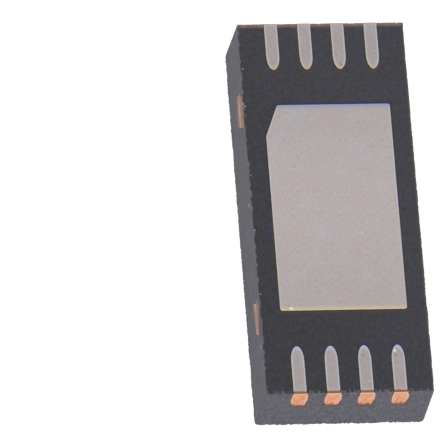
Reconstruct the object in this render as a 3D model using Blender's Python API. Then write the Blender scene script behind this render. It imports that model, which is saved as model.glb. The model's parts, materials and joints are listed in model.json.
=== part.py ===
"""Leadless memory chip with eight lands, lying on its marking face with its lands up.

Lengths are in metres. The origin is the centre of the marking face. X runs along a row of
lands, Y along the package, and Z up to the land face. The corner at -X, +Y is the one that
the cut corner of the exposed pad points out as the first lead.

The lead frame is one etched sheet. Both of its faces were etched, so each edge has a cusp at
its waist, and beside the exposed faces the sheet was etched to half its thickness from the
land side. The moulding compound flows over those thin lips and holds the metal.
"""

import math

import bmesh
import bpy
from mathutils import Vector
from mathutils.geometry import interpolate_bezier

# Moulded package
BODY_WIDTH = 0.00200
BODY_LENGTH = 0.00474
BODY_HEIGHT = 0.00095

# Lead frame sheet
FRAME_THICKNESS = 0.00036
WAIST_DEPTH = 0.00018
WAIST_BAND = 0.00002
CUSP_BULGE = 0.000018
LIP_STEP = 0.000004
INNER_FACE_BULGE = 0.000004

# Leads
LEADS_IN_ROW = 4
LEAD_PITCH = 0.00040
LAND_WIDTH = 0.00016
LAND_LENGTH = 0.00060
TIP_LENGTH = 0.00018
TIP_STEPS = 12
FINGER_LENGTH = 0.00018

# Die paddle
PADDLE_END_GAP = 0.00019
PADDLE_SIDE_WALL = 0.00016
PADDLE_LIP = 0.00008
CHAMFER_WIDTH = 0.00016
CHAMFER_LENGTH = 0.00040
PAD_CORNER_RADIUS = 0.00003
CORNER_STEPS = 3

# Tie bars, which held the paddle in the frame until the saw cut them
TIE_BAR_WIDTH = 0.00033
TIE_BAR_SET_BACK = 0.00009
TIE_BAR_ROOT = 0.00022
TIE_BAR_GUSSET = 0.00004

# Tin plating
PLATING_THICKNESS = 0.000012
PLATING_EDGE = 0.000004

# Die and its adhesive
DIE_SIDE_MARGIN = 0.00020
DIE_END_MARGIN = 0.00029
DIE_THICKNESS = 0.00018
DIE_CORNER_RADIUS = 0.00002
STREET_WIDTH = 0.000015
STREET_DEPTH = 0.00003
ATTACH_THICKNESS = 0.000025
ATTACH_SPREAD = 0.00003

# Bond wires
BOND_PAD_PITCH = 0.00030
BOND_PAD_INSET = 0.00009
WIRE_RADIUS = 0.000015
WIRE_SIDES_RESOLUTION = 2
BALL_RADIUS = 0.000036
BALL_HEIGHT = 0.000024
BALL_FOOT = 0.8
BALL_WAIST = 0.4
BALL_TOP = 0.75
LOOP_DROP = 0.00018
HEEL_REACH = 0.00030
HEEL_DROP = 0.00030
HEEL_INSET = 0.00005
STITCH_LENGTH = 0.00006
STITCH_TAPER = ((0.5, 0.7), (1.0, 0.4))
LOOP_POINTS = 10

# How near two points of a swept or flat curve's mesh are one
CURVE_WELD = 0.00000001

# Room between the moulding compound and what it encloses
MOULD_CLEARANCE = 0.000002
OVERCUT = 0.00005

LAND_FACE = BODY_HEIGHT
FRAME_INNER_FACE = LAND_FACE - FRAME_THICKNESS
WAIST = LAND_FACE - WAIST_DEPTH
LEAD_END = BODY_LENGTH / 2
FINGER_TIP = LEAD_END - LAND_LENGTH - FINGER_LENGTH
PADDLE_HALF_LENGTH = FINGER_TIP - PADDLE_END_GAP
PADDLE_HALF_WIDTH = BODY_WIDTH / 2 - PADDLE_SIDE_WALL
PAD_HALF_LENGTH = PADDLE_HALF_LENGTH - PADDLE_LIP
PAD_HALF_WIDTH = PADDLE_HALF_WIDTH - PADDLE_LIP
DIE_HALF_LENGTH = PADDLE_HALF_LENGTH - DIE_END_MARGIN
DIE_HALF_WIDTH = PADDLE_HALF_WIDTH - DIE_SIDE_MARGIN
DIE_BACK = FRAME_INNER_FACE - ATTACH_THICKNESS
DIE_FACE = DIE_BACK - DIE_THICKNESS

# Finish of each material: colour, metallic, roughness
FINISHES = {
    "moulding_compound": ((0.051, 0.050, 0.060), 0.0, 0.55),
    "copper": ((0.72, 0.33, 0.17), 1.0, 0.38),
    "matte_tin": ((0.46, 0.43, 0.42), 1.0, 0.50),
    "die_adhesive": ((0.42, 0.43, 0.45), 0.3, 0.50),
    "silicon": ((0.17, 0.17, 0.20), 0.6, 0.22),
    "gold": ((0.86, 0.60, 0.22), 1.0, 0.25),
}


def clear_scene():
    """Remove every object of the open scene."""
    for old in list(bpy.data.objects):
        bpy.data.objects.remove(old)


def new_collection(name):
    """Return a new collection under the scene's own."""
    collection = bpy.data.collections.new(name)
    bpy.context.scene.collection.children.link(collection)
    return collection


def finish_material(name):
    """Return the named material, a Principled BSDF made from its finish."""
    material = bpy.data.materials.get(name)
    if material:
        return material
    colour, metallic, roughness = FINISHES[name]
    material = bpy.data.materials.new(name)
    material.use_nodes = True
    shader = material.node_tree.nodes["Principled BSDF"]
    shader.inputs["Base Color"].default_value = (*colour, 1.0)
    shader.inputs["Metallic"].default_value = metallic
    shader.inputs["Roughness"].default_value = roughness
    material.diffuse_color = (*colour, 1.0)
    return material


# Outlines: lists of (x, y) points that run anticlockwise


def rounded(corners, radius, steps=CORNER_STEPS):
    """Round each corner of a convex outline with an arc."""
    points = []
    count = len(corners)
    for index, corner in enumerate(corners):
        here = Vector(corner)
        into = (here - Vector(corners[index - 1])).normalized()
        out = (Vector(corners[(index + 1) % count]) - here).normalized()
        turn = into.angle_signed(out, 0.0)
        half = abs(turn) / 2
        middle = here + (out - into).normalized() * radius / math.cos(half)
        start = here - into * radius * math.tan(half) - middle
        first = math.atan2(start.y, start.x)
        for step in range(steps + 1):
            angle = first + 2 * half * step / steps
            points.append((middle.x + radius * math.cos(angle), middle.y + radius * math.sin(angle)))
    return points


def rounded_rectangle(half_width, half_length, radius):
    """Outline of a rectangle about the origin."""
    corners = [
        (-half_width, -half_length),
        (half_width, -half_length),
        (half_width, half_length),
        (-half_width, half_length),
    ]
    return rounded(corners, radius)


def pad_outline(spread):
    """Outline of the exposed pad, spread outwards by a distance on every side.

    The cut corner is moved out square to itself, so that the lip keeps its width there.
    """
    half_width = PAD_HALF_WIDTH + spread
    half_length = PAD_HALF_LENGTH + spread
    cut = math.hypot(CHAMFER_WIDTH, CHAMFER_LENGTH)
    cut_width = CHAMFER_WIDTH + spread * (CHAMFER_WIDTH + CHAMFER_LENGTH - cut) / CHAMFER_LENGTH
    cut_length = CHAMFER_LENGTH + spread * (CHAMFER_WIDTH + CHAMFER_LENGTH - cut) / CHAMFER_WIDTH
    corners = [
        (-half_width, -half_length),
        (half_width, -half_length),
        (half_width, half_length),
        (-half_width + cut_width, half_length),
        (-half_width, half_length - cut_length),
    ]
    return rounded(corners, PAD_CORNER_RADIUS + spread)


def bullet_outline(half_width, length, saw_end=0.0):
    """Outline of a lead: square at the saw cut, half an ellipse at its inner tip."""
    shoulder = length - TIP_LENGTH
    points = [(-half_width, saw_end), (half_width, saw_end)]
    for step in range(TIP_STEPS + 1):
        angle = math.pi * step / TIP_STEPS
        points.append((half_width * math.cos(angle), shoulder + TIP_LENGTH * math.sin(angle)))
    return points


# Solids


def loft(name, sections):
    """Mesh a closed solid through sections that have as many points as each other.

    Each section is an outline and its height, from the lowest up.
    """
    shape = bmesh.new()
    rings = [[shape.verts.new((x, y, height)) for x, y in outline] for outline, height in sections]
    for lower, upper in zip(rings, rings[1:]):
        for index in range(len(lower)):
            after = (index + 1) % len(lower)
            shape.faces.new((lower[index], lower[after], upper[after], upper[index]))
    shape.faces.new(reversed(rings[0]))
    shape.faces.new(rings[-1])
    mesh = bpy.data.meshes.new(name)
    shape.to_mesh(mesh)
    shape.free()
    return mesh


def mesh_of_curve(curve_object):
    """Turn a curve object into a closed mesh and remove the curve."""
    graph = bpy.context.evaluated_depsgraph_get()
    mesh = bpy.data.meshes.new_from_object(curve_object.evaluated_get(graph))
    shape = bmesh.new()
    shape.from_mesh(mesh)
    bmesh.ops.remove_doubles(shape, verts=shape.verts, dist=CURVE_WELD)
    bmesh.ops.recalc_face_normals(shape, faces=shape.faces)
    shape.to_mesh(mesh)
    shape.free()
    bpy.data.objects.remove(curve_object)
    return mesh


def prism(name, outline, low, high):
    """Mesh a flat outline, extruded between two heights."""
    curve = bpy.data.curves.new(name, "CURVE")
    curve.dimensions = "2D"
    curve.fill_mode = "BOTH"
    curve.extrude = (high - low) / 2
    spline = curve.splines.new("POLY")
    spline.points.add(len(outline) - 1)
    for point, (x, y) in zip(spline.points, outline):
        point.co = (x, y, 0.0, 1.0)
    spline.use_cyclic_u = True
    holder = bpy.data.objects.new(name, curve)
    bpy.context.scene.collection.objects.link(holder)
    mesh = mesh_of_curve(holder)
    for vertex in mesh.vertices:
        vertex.co.z = high if vertex.co.z > 0 else low
    return mesh


def swept_wire(name, route, grow=0.0):
    """Mesh a wire along a route of points with the radius at each."""
    curve = bpy.data.curves.new(name, "CURVE")
    curve.dimensions = "3D"
    curve.bevel_depth = WIRE_RADIUS
    curve.bevel_resolution = WIRE_SIDES_RESOLUTION
    curve.use_fill_caps = True
    spline = curve.splines.new("POLY")
    spline.points.add(len(route) - 1)
    for point, (place, radius) in zip(spline.points, route):
        point.co = (*place, 1.0)
        point.radius = (radius + grow) / WIRE_RADIUS
    holder = bpy.data.objects.new(name, curve)
    bpy.context.scene.collection.objects.link(holder)
    return mesh_of_curve(holder)


def lead_mesh(name, grow=0.0, saw_end=0.0):
    """Mesh a lead from its saw-cut end at y = 0 to the tip of its bond finger.

    Heights are below the land face, which is at z = 0. The finger is the part that was
    etched away on the land side, so its outline is longer than the land's.
    """
    whole = LAND_LENGTH + FINGER_LENGTH + grow
    land = LAND_LENGTH + grow
    half = LAND_WIDTH / 2 + grow
    sections = [
        (bullet_outline(half + INNER_FACE_BULGE, whole - CUSP_BULGE, saw_end), -FRAME_THICKNESS - grow),
        (bullet_outline(half + CUSP_BULGE, whole, saw_end), -WAIST_DEPTH),
        (bullet_outline(half + CUSP_BULGE - LIP_STEP, land + CUSP_BULGE, saw_end), -WAIST_DEPTH + WAIST_BAND),
        (bullet_outline(half, land, saw_end), OVERCUT if grow else 0.0),
    ]
    return loft(name, sections)


def paddle_mesh(name, grow=0.0):
    """Mesh the paddle without its tie bars: the exposed pad on a wider, thinner lip."""
    sections = [
        (pad_outline(PADDLE_LIP - CUSP_BULGE + grow), FRAME_INNER_FACE - grow),
        (pad_outline(PADDLE_LIP + grow), WAIST),
        (pad_outline(CUSP_BULGE + grow), WAIST + WAIST_BAND),
        (pad_outline(grow), LAND_FACE + (OVERCUT if grow else 0.0)),
    ]
    return loft(name, sections)


def tie_bar_mesh(name, side, end, grow=0.0):
    """Mesh the tie bar at one corner of the paddle, from inside the lip to the side wall.

    side and end are 1 or -1, for the corner's place along X and Y.
    """
    near = PAD_HALF_LENGTH - TIE_BAR_WIDTH / 2 - grow
    far = PAD_HALF_LENGTH + TIE_BAR_WIDTH / 2 + grow
    wall = BODY_WIDTH / 2 + (OVERCUT if grow else 0.0)
    root = PADDLE_HALF_WIDTH - TIE_BAR_ROOT
    outline = [
        (root, near),
        (wall, near),
        (wall, far),
        (PADDLE_HALF_WIDTH + TIE_BAR_GUSSET - grow, far),
        (root, PADDLE_HALF_LENGTH - PADDLE_LIP / 2),
    ]
    placed = [(side * x, end * y) for x, y in outline]
    return prism(name, placed, FRAME_INNER_FACE - grow, LAND_FACE - TIE_BAR_SET_BACK + grow)


def plating_mesh(name, outline_at, low):
    """Mesh a film of tin on a face, with its upper edge softened.

    outline_at gives the face's outline, spread by a distance.
    """
    shoulder = low + PLATING_THICKNESS - PLATING_EDGE
    top = low + PLATING_THICKNESS
    return loft(name, [(outline_at(0.0), low), (outline_at(0.0), shoulder), (outline_at(-PLATING_EDGE), top)])


def land_outline(spread):
    """Outline of a lead's exposed land, spread from its edges but not past the saw cut."""
    return bullet_outline(LAND_WIDTH / 2 + spread, LAND_LENGTH + spread)


def die_outline(spread):
    """Outline of the die, spread outwards by a distance on every side."""
    return rounded_rectangle(DIE_HALF_WIDTH + spread, DIE_HALF_LENGTH + spread, DIE_CORNER_RADIUS + spread)


def attach_mesh(name, grow=0.0):
    """Mesh the adhesive under the die, which spreads out as a shallow slope on the paddle."""
    return loft(name, [
        (die_outline(grow), DIE_BACK - grow),
        (die_outline(ATTACH_SPREAD + grow), FRAME_INNER_FACE + grow),
    ])


def die_mesh(name, grow=0.0):
    """Mesh the die, with the step that the first cut of the wafer saw left round its face."""
    inset = STREET_WIDTH - grow
    full = die_outline(grow)
    face = rounded_rectangle(DIE_HALF_WIDTH - inset, DIE_HALF_LENGTH - inset, DIE_CORNER_RADIUS)
    sections = [
        (face, DIE_FACE - grow),
        (face, DIE_FACE + STREET_DEPTH - grow),
        (full, DIE_FACE + STREET_DEPTH - grow),
        (full, DIE_BACK + grow),
    ]
    return loft(name, sections)


def lead_place(number):
    """Return the x of a lead and its end of the package, 1 for +Y and -1 for -Y.

    Leads 1 to 4 run along the +Y end from -X, and 5 to 8 run back along the -Y end.
    """
    place = (number - 1) % LEADS_IN_ROW
    end = 1 if number <= LEADS_IN_ROW else -1
    return end * (place - (LEADS_IN_ROW - 1) / 2), end


def wire_route(number, grow=0.0):
    """Return the route of a bond wire: its ball on the die, its loop, its stitch on the finger.

    The ball's foot and top are shares of its radius, and it is widest at a share of its height.
    The stitch's taper gives shares of its length, and of the wire's radius left there.
    """
    column, end = lead_place(number)
    foot = Vector((column * BOND_PAD_PITCH, end * (DIE_HALF_LENGTH - BOND_PAD_INSET), DIE_FACE))
    heel = Vector((column * LEAD_PITCH, end * (FINGER_TIP + HEEL_INSET), FRAME_INNER_FACE - WIRE_RADIUS))
    along = Vector((heel.x - foot.x, heel.y - foot.y, 0.0)).normalized()
    down = Vector((0.0, 0.0, -1.0))
    route = [
        (foot - down * grow, BALL_RADIUS * BALL_FOOT),
        (foot + down * BALL_HEIGHT * BALL_WAIST, BALL_RADIUS),
        (foot + down * BALL_HEIGHT, BALL_RADIUS * BALL_TOP),
    ]
    neck = foot + down * (BALL_HEIGHT + WIRE_RADIUS / 2)
    loop = interpolate_bezier(
        neck,
        neck + down * LOOP_DROP,
        heel - along * HEEL_REACH + down * HEEL_DROP,
        heel,
        LOOP_POINTS,
    )
    route += [(point, WIRE_RADIUS) for point in loop]
    for share, thin in STITCH_TAPER:
        place = heel + along * STITCH_LENGTH * share - down * WIRE_RADIUS * (1 - thin)
        route.append((place, WIRE_RADIUS * thin))
    return route


# The part


class Chip:
    """Places the pieces in their collection, and the cutters in another."""

    def __init__(self):
        self.parts = new_collection("memory_chip")
        self.cutters = new_collection("cutters")
        self.frame = bpy.data.objects.new("memory_chip_frame", None)
        self.parts.objects.link(self.frame)

    def piece(self, name, mesh, finish):
        """Add one sub-part, with the material of its finish."""
        if not mesh.materials:
            mesh.materials.append(finish_material(finish))
        made = bpy.data.objects.new(name, mesh)
        made.parent = self.frame
        self.parts.objects.link(made)
        return made

    def cutter(self, mesh):
        """Add a solid that only shapes others."""
        made = bpy.data.objects.new(mesh.name, mesh)
        made.hide_render = True
        made.display_type = "WIRE"
        self.cutters.objects.link(made)
        return made

    def boolean(self, target, tool, operation):
        """Join a tool to a piece, or cut it away."""
        step = target.modifiers.new(tool.name, "BOOLEAN")
        step.operation = operation
        step.solver = "EXACT"
        step.object = tool

    def place_in_rows(self, stem, mesh, finish, height):
        """Add one copy of a mesh at each lead, turned round for the +Y row."""
        placed = []
        for number in range(1, 2 * LEADS_IN_ROW + 1):
            column, end = lead_place(number)
            if finish:
                copy = self.piece(f"{stem}_{number}", mesh, finish)
            else:
                copy = self.cutter(mesh)
            copy.location = (column * LEAD_PITCH, end * LEAD_END, height)
            copy.rotation_euler.z = math.pi if end > 0 else 0.0
            placed.append(copy)
        return placed

    def lead_frame(self):
        """Add the paddle with its four tie bars, and the eight leads."""
        paddle = self.piece("die_paddle", paddle_mesh("die_paddle"), "copper")
        for side in (-1, 1):
            for end in (-1, 1):
                bar = self.cutter(tie_bar_mesh(f"tie_bar_{side}_{end}", side, end))
                self.boolean(paddle, bar, "UNION")
        self.place_in_rows("lead", lead_mesh("lead"), "copper", LAND_FACE)

    def plating(self):
        """Add the film of tin on the pad and on each land."""
        on_pad = plating_mesh("paddle_plating", pad_outline, LAND_FACE)
        self.piece("paddle_plating", on_pad, "matte_tin")
        on_land = plating_mesh("land_plating", land_outline, 0.0)
        self.place_in_rows("land_plating", on_land, "matte_tin", LAND_FACE)

    def circuit(self):
        """Add the die, its adhesive and the bond wires."""
        self.piece("die_attach", attach_mesh("die_attach"), "die_adhesive")
        self.piece("memory_die", die_mesh("memory_die"), "silicon")
        for number in range(1, 2 * LEADS_IN_ROW + 1):
            name = f"bond_wire_{number}"
            self.piece(name, swept_wire(name, wire_route(number)), "gold")

    def moulding(self):
        """Add the moulding compound, cut out where it encloses the other pieces."""
        shape = bmesh.new()
        bmesh.ops.create_cube(shape, size=1.0)
        bmesh.ops.scale(shape, verts=shape.verts, vec=(BODY_WIDTH, BODY_LENGTH, BODY_HEIGHT))
        bmesh.ops.translate(shape, verts=shape.verts, vec=(0.0, 0.0, BODY_HEIGHT / 2))
        mesh = bpy.data.meshes.new("mould_body")
        shape.to_mesh(mesh)
        shape.free()
        body = self.piece("mould_body", mesh, "moulding_compound")

        room = MOULD_CLEARANCE
        hollows = self.place_in_rows("lead", lead_mesh("lead_room", room, -OVERCUT), None, LAND_FACE)
        hollows.append(self.cutter(paddle_mesh("paddle_room", room)))
        for side in (-1, 1):
            for end in (-1, 1):
                hollows.append(self.cutter(tie_bar_mesh(f"tie_bar_room_{side}_{end}", side, end, room)))
        hollows.append(self.cutter(attach_mesh("attach_room", room)))
        hollows.append(self.cutter(die_mesh("die_room", room)))
        for number in range(1, 2 * LEADS_IN_ROW + 1):
            route = wire_route(number, 2 * room)
            hollows.append(self.cutter(swept_wire(f"wire_room_{number}", route, room)))
        for hollow in hollows:
            self.boolean(body, hollow, "DIFFERENCE")


def main():
    """Build the chip in an emptied scene."""
    clear_scene()
    chip = Chip()
    chip.lead_frame()
    chip.plating()
    chip.circuit()
    chip.moulding()


main()
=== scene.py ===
"""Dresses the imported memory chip: moulding compound, cut copper, tin films and the circuit inside.

Lengths are in metres, in the chip's own frame: the marking face lies on the floor at z = 0, the
lands look up, X runs along a row of lands and Y along the package.
"""

import json
import logging
import math
from dataclasses import dataclass
from enum import Enum
from typing import Any, Iterable, Union

import bmesh
import bpy
from mathutils import Matrix, Vector, noise

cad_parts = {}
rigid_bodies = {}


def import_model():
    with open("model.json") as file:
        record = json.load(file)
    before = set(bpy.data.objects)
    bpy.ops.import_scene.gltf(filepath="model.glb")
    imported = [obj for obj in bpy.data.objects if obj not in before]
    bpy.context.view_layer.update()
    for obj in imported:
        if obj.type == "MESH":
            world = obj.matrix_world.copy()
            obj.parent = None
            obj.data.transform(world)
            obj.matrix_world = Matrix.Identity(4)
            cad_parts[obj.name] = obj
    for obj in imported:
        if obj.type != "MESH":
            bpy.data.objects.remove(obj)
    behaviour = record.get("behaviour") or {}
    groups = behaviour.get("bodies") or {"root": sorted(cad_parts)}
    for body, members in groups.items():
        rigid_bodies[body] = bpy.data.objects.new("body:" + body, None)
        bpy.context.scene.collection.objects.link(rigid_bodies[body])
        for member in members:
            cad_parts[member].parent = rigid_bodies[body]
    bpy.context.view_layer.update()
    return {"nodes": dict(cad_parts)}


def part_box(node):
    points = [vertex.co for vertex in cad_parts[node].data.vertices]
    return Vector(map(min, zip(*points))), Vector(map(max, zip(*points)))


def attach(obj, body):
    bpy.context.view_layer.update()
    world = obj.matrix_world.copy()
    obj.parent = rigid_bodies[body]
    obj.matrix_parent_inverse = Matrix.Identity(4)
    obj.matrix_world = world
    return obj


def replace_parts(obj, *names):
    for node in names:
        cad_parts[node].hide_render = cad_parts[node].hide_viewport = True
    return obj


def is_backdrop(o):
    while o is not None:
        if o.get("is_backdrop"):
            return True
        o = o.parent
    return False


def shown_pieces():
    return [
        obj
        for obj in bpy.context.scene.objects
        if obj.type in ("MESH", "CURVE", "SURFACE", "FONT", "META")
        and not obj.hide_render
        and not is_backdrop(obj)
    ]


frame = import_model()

LOG = logging.getLogger("memory_chip")

MICRON = 1e-6
HAIR = 1e-5  # half the width over which a tint switches from one side of a line to the other
WELD = 0.2 * MICRON  # points closer than this are one point
TOUCH = 1.0 * MICRON  # a point closer than this to a wall lies on it
PHOTO_SIDE = 444
LEADS_IN_ROW = 4
LEAD_COUNT = 2 * LEADS_IN_ROW
TIE_BARS = 4

Colour = tuple[float, float, float]
Extent = tuple[float, float, float]
Pair = tuple[float, float]
Number = Union[float, "Value"]


def microns(*sizes: float) -> tuple[float, ...]:
    """Return lengths given in micrometres, in metres."""
    return tuple(size * MICRON for size in sizes)


def numbered(stem: str) -> list[str]:
    """Return the names of one kind of node, of which each lead has one."""
    return [f"{stem}_{number}" for number in range(1, LEAD_COUNT + 1)]


class Slot(Enum):
    """The record's material slots; no piece here takes its finish from them."""

    COMPOUND = "moulding_compound"
    COPPER = "copper"
    TIN = "matte_tin"


class Body(Enum):
    """The bodies that a piece may ride on."""

    CHIP = "root"


@dataclass(frozen=True)
class Tones:
    """A colour with the cool and the warm neighbour that it drifts to."""

    base: Colour
    cool: Colour
    warm: Colour


class Value:
    """A number or colour socket; arithmetic on it adds Math nodes."""

    def __init__(self, sheet: "Sheet", socket: bpy.types.NodeSocket) -> None:
        """Wrap an output socket of a sheet."""
        self.sheet = sheet
        self.socket = socket

    def math(self, operation: str, *others: Number) -> "Value":
        """Add a Math node.

        Args:
            operation: The node's operation, such as "MAXIMUM".
            others: The node's further inputs, after this value.

        Returns:
            The node's result.
        """
        inputs = dict(enumerate((self, *others)))
        return self.sheet.node("ShaderNodeMath", {"operation": operation}, inputs)

    def __add__(self, other: Number) -> "Value":
        """Return the sum."""
        return self.math("ADD", other)

    def __sub__(self, other: Number) -> "Value":
        """Return the difference."""
        return self.math("SUBTRACT", other)

    def __mul__(self, other: Number) -> "Value":
        """Return the product."""
        return self.math("MULTIPLY", other)

    def __truediv__(self, other: Number) -> "Value":
        """Return the quotient."""
        return self.math("DIVIDE", other)

    def __rsub__(self, other: float) -> "Value":
        """Return a number less this value."""
        return self * -1.0 + other

    def __abs__(self) -> "Value":
        """Return the size without its sign."""
        return self.math("ABSOLUTE")

    __radd__ = __add__
    __rmul__ = __mul__


class Sheet:
    """A material's nodes. One method adds each of them."""

    def __init__(self, name: str) -> None:
        """Start an empty material of that name."""
        self.material = bpy.data.materials.new(name)
        self.material.use_nodes = True
        self.tree = self.material.node_tree
        self.tree.nodes.clear()

    def node(self, kind: str, settings: dict[str, Any], sockets: dict[Any, Any], out: Any = 0) -> Any:
        """Add a node.

        Args:
            kind: The node's type.
            settings: Its properties, set first.
            sockets: Values or links, by the input's name or number.
            out: The output to return, by name or number; None where the node has none.

        Returns:
            The output, wrapped, or None.
        """
        made = self.tree.nodes.new(kind)
        for name, setting in settings.items():
            setattr(made, name, setting)
        for key, given in sockets.items():
            socket = made.inputs[key]
            if isinstance(given, Value):
                self.tree.links.new(given.socket, socket)
            else:
                socket.default_value = given
        return None if out is None else Value(self, made.outputs[out])

    def place(self) -> Value:
        """Return the point's object coordinates."""
        return self.node("ShaderNodeTexCoord", {}, {}, "Object")

    def facing(self) -> Value:
        """Return the surface's normal in object space."""
        return self.node("ShaderNodeTexCoord", {}, {}, "Normal")

    def part(self, vector: Value, axis: str) -> Value:
        """Return one component of a vector, by the axis letter."""
        return self.node("ShaderNodeSeparateXYZ", {}, {0: vector}, axis)

    def _in_cells(self, size: Union[float, Extent]) -> Value:
        """Return the point's coordinates counted in cells of that size in metres."""
        sizes = (size,) * 3 if isinstance(size, float) else size
        scale = tuple(1.0 / each for each in sizes)
        return self.node("ShaderNodeMapping", {}, {"Vector": self.place(), "Scale": scale})

    def grain(self, size: Union[float, Extent], detail: float = 2.0, roughness: float = 0.5) -> Value:
        """Return noise about 0, between -0.5 and 0.5.

        Args:
            size: The grain's size in metres, one number or one along each axis.
            detail: Octaves of finer noise.
            roughness: How strong the finer octaves are.

        Returns:
            The noise.
        """
        sockets = {"Vector": self._in_cells(size), "Scale": 1.0}
        sockets |= {"Detail": detail, "Roughness": roughness}
        return self.node("ShaderNodeTexNoise", {}, sockets) - 0.5

    def cells(self, size: Union[float, Extent]) -> Value:
        """Return a random number from 0 to 1 for each cell of that size in metres."""
        sockets = {"Vector": self._in_cells(size), "Scale": 1.0}
        return self.part(self.node("ShaderNodeTexVoronoi", {}, sockets, "Color"), "X")

    def ease(self, value: Value, low: float, high: float) -> Value:
        """Return 0 where the value is at low and 1 where it is at high, eased between."""
        sockets = {"Value": value, "From Min": low, "From Max": high}
        return self.node("ShaderNodeMapRange", {"interpolation_type": "SMOOTHSTEP"}, sockets)

    def fade(self, value: Value, low: float, high: float) -> Value:
        """Return 1 where the value is at low and 0 where it is at high, eased between."""
        return 1.0 - self.ease(value, low, high)

    def ahead(self, value: Value) -> Value:
        """Return 1 where the value is above 0 and 0 where it is below."""
        return self.ease(value, -HAIR, HAIR)

    def rim(self, value: Value, edge: float, band: Pair) -> Value:
        """Return 1 at an edge and 0 inside the band beside it.

        Args:
            value: What grows towards the edge.
            edge: The value at the edge.
            band: How far in the effect starts, and how far in it is full.

        Returns:
            The share.
        """
        return self.ease(value, edge - band[0], edge - band[1])

    def blend(self, share: Number, first: Any, second: Any) -> Value:
        """Return a colour between two, each a Value or a plain colour."""
        ends = [each if isinstance(each, Value) else (*each, 1.0) for each in (first, second)]
        return self.node("ShaderNodeMix", {"data_type": "RGBA"}, {0: share, 6: ends[0], 7: ends[1]}, 2)

    def drifted(self, drift: Value, span: Pair, tones: Tones) -> Value:
        """Return a colour that drifts to its neighbours.

        Args:
            drift: Noise about 0, cool where it is high and warm where it is low.
            span: The drift at which a neighbour starts, and at which it is full.
            tones: The colour and its neighbours.

        Returns:
            The colour.
        """
        tinted = self.blend(self.ease(drift, *span), tones.base, tones.cool)
        return self.blend(self.ease(drift * -1.0, *span), tinted, tones.warm)

    def shade(self, colour: Any, strength: Value) -> Value:
        """Return a colour made lighter or darker by a factor."""
        base = colour if isinstance(colour, Value) else (*colour, 1.0)
        grey = self.node("ShaderNodeCombineColor", {}, {0: strength, 1: strength, 2: strength})
        settings = {"data_type": "RGBA", "blend_type": "MULTIPLY"}
        return self.node("ShaderNodeMix", settings, {0: 1.0, 6: base, 7: grey}, 2)

    def bump(self, height: Value, depth: float, strength: float) -> Value:
        """Return a normal bent by a height.

        Args:
            height: The relief, 1 for the whole depth.
            depth: That depth in metres.
            strength: The share of the effect.

        Returns:
            The normal.
        """
        sockets = {"Strength": strength, "Distance": depth, "Height": height}
        return self.node("ShaderNodeBump", {}, sockets)

    def finish(self, sockets: dict[str, Any]) -> bpy.types.Material:
        """Close the sheet with a Principled shader and return its material."""
        shader = self.node("ShaderNodeBsdfPrincipled", {}, sockets)
        self.node("ShaderNodeOutputMaterial", {}, {"Surface": shader}, None)
        return self.material


@dataclass(frozen=True)
class ChipSizes:
    """The chip's sizes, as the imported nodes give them."""

    half_width: float
    half_length: float
    height: float
    frame_bottom: float
    lead_pitch: float
    land_half_width: float
    land_length: float
    pad_half_width: float
    pad_half_length: float

    @staticmethod
    def from_frame() -> "ChipSizes":
        """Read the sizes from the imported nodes' boxes."""
        body_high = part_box("mould_body")[1]
        pad_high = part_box("paddle_plating")[1]
        land_low, land_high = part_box("land_plating_1")
        next_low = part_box("land_plating_2")[0]
        return ChipSizes(
            half_width=body_high.x,
            half_length=body_high.y,
            height=body_high.z,
            frame_bottom=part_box("lead_1")[0].z,
            lead_pitch=next_low.x - land_low.x,
            land_half_width=(land_high.x - land_low.x) / 2,
            land_length=land_high.y - land_low.y,
            pad_half_width=pad_high.x,
            pad_half_length=pad_high.y,
        )


SIZES = ChipSizes.from_frame()


@dataclass(frozen=True)
class Outlines:
    """How far a point of the land face lies outside the pad's outline or the nearest land's."""

    tip_length: float = 0.18e-3
    chamfer_width: float = 0.16e-3
    chamfer_length: float = 0.40e-3
    lead_drag: float = 18 * MICRON

    def pad(self, across: Value, along: Value) -> Value:
        """Return the distance outside the pad, below 0 on it."""
        box = (abs(across) - SIZES.pad_half_width).math("MAXIMUM", abs(along) - SIZES.pad_half_length)
        slant = math.hypot(self.chamfer_width, self.chamfer_length)
        toward = Vector((-self.chamfer_length, self.chamfer_width)) / slant
        corner = Vector((self.chamfer_width - SIZES.pad_half_width, SIZES.pad_half_length))
        return box.math("MAXIMUM", across * toward.x + along * toward.y - toward.dot(corner))

    def land(self, across: Value, along: Value) -> Value:
        """Return the distance outside the nearest land, below 0 on it."""
        beside = abs(self.off_centre(across)) / SIZES.land_half_width
        tip_start = SIZES.half_length - SIZES.land_length + self.tip_length
        beyond = ((tip_start - abs(along)) / self.tip_length).math("MAXIMUM", 0.0)
        radius = (beside * beside + beyond * beyond).math("SQRT")
        outside_rows = abs(across) - LEADS_IN_ROW / 2 * SIZES.lead_pitch
        return ((radius - 1.0) * SIZES.land_half_width).math("MAXIMUM", outside_rows)

    def end(self, sheet: Sheet, across: Value, along: Value, height: Value) -> Value:
        """Return how far right of its lead's dragged middle a point of an end wall lies."""
        toward = 1.0 - sheet.ahead(along) * 2.0
        lean = self.lead_drag / (SIZES.height - SIZES.frame_bottom)
        return self.off_centre(across) * toward - (SIZES.height - height) * lean

    def cut_start(self) -> float:
        """Return how far along the pad its cut corner starts."""
        return SIZES.pad_half_length - self.chamfer_length

    @staticmethod
    def off_centre(across: Value) -> Value:
        """Return how far a point lies beside the middle of its lead's column."""
        return ((across / SIZES.lead_pitch).math("FRACT") - 0.5) * SIZES.lead_pitch

    @staticmethod
    def past_tip(along: Value) -> Value:
        """Return how far towards the end wall a point lies from the lands' tips."""
        return abs(along) - (SIZES.half_length - SIZES.land_length)

    @staticmethod
    def faces_back(sheet: Sheet, along: Value, on_pad: Value) -> Value:
        """Return 1 beside an edge of the metal that faces +Y, and 0 beside one that faces -Y."""
        return sheet.ahead(along * (on_pad * 2.0 - 1.0))


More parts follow.
